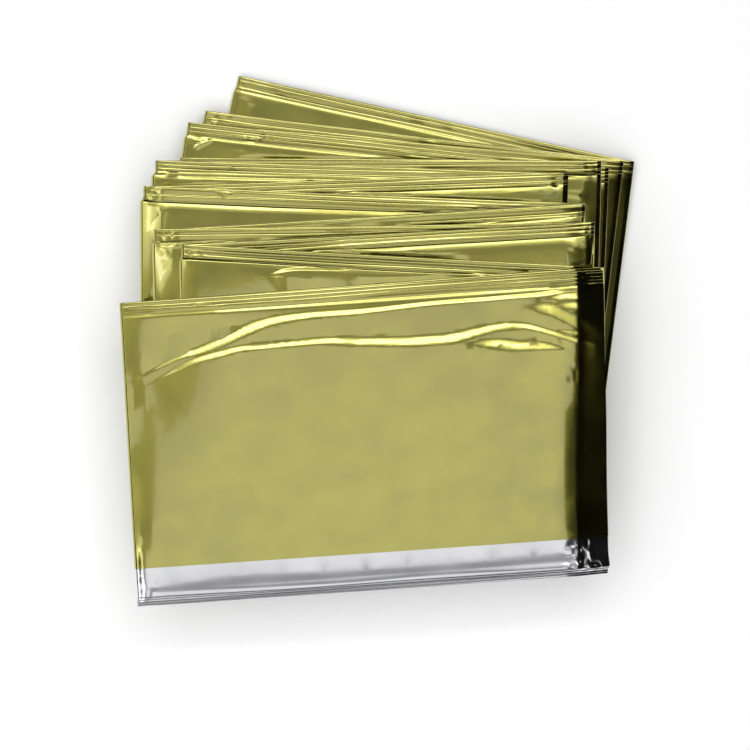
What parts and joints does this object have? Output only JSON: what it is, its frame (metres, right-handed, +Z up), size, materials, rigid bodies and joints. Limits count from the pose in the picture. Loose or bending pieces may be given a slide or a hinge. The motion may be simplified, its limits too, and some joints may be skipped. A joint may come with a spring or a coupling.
{
  "type": "folded emergency foil blanket",
  "caption": "Emergency blanket of olive and silver metallised film, folded into a narrow strip and then into a loosely fanned flat pile.",
  "frame": {"origin": "on the surface it lies on, under the middle of the pile's outline", "axes": "+Z up from the surface, +Y towards the folded top edges of the panels, +X along the panels to the right"},
  "size_m": [0.138, 0.143, 0.0258],
  "materials": {
    "metallised_film": "bright metallised polyester film, olive outside and silver inside, with sharp creases"
  },
  "bodies": {
    "root": {"folded_blanket": "metallised_film"}
  },
  "joints": []
}
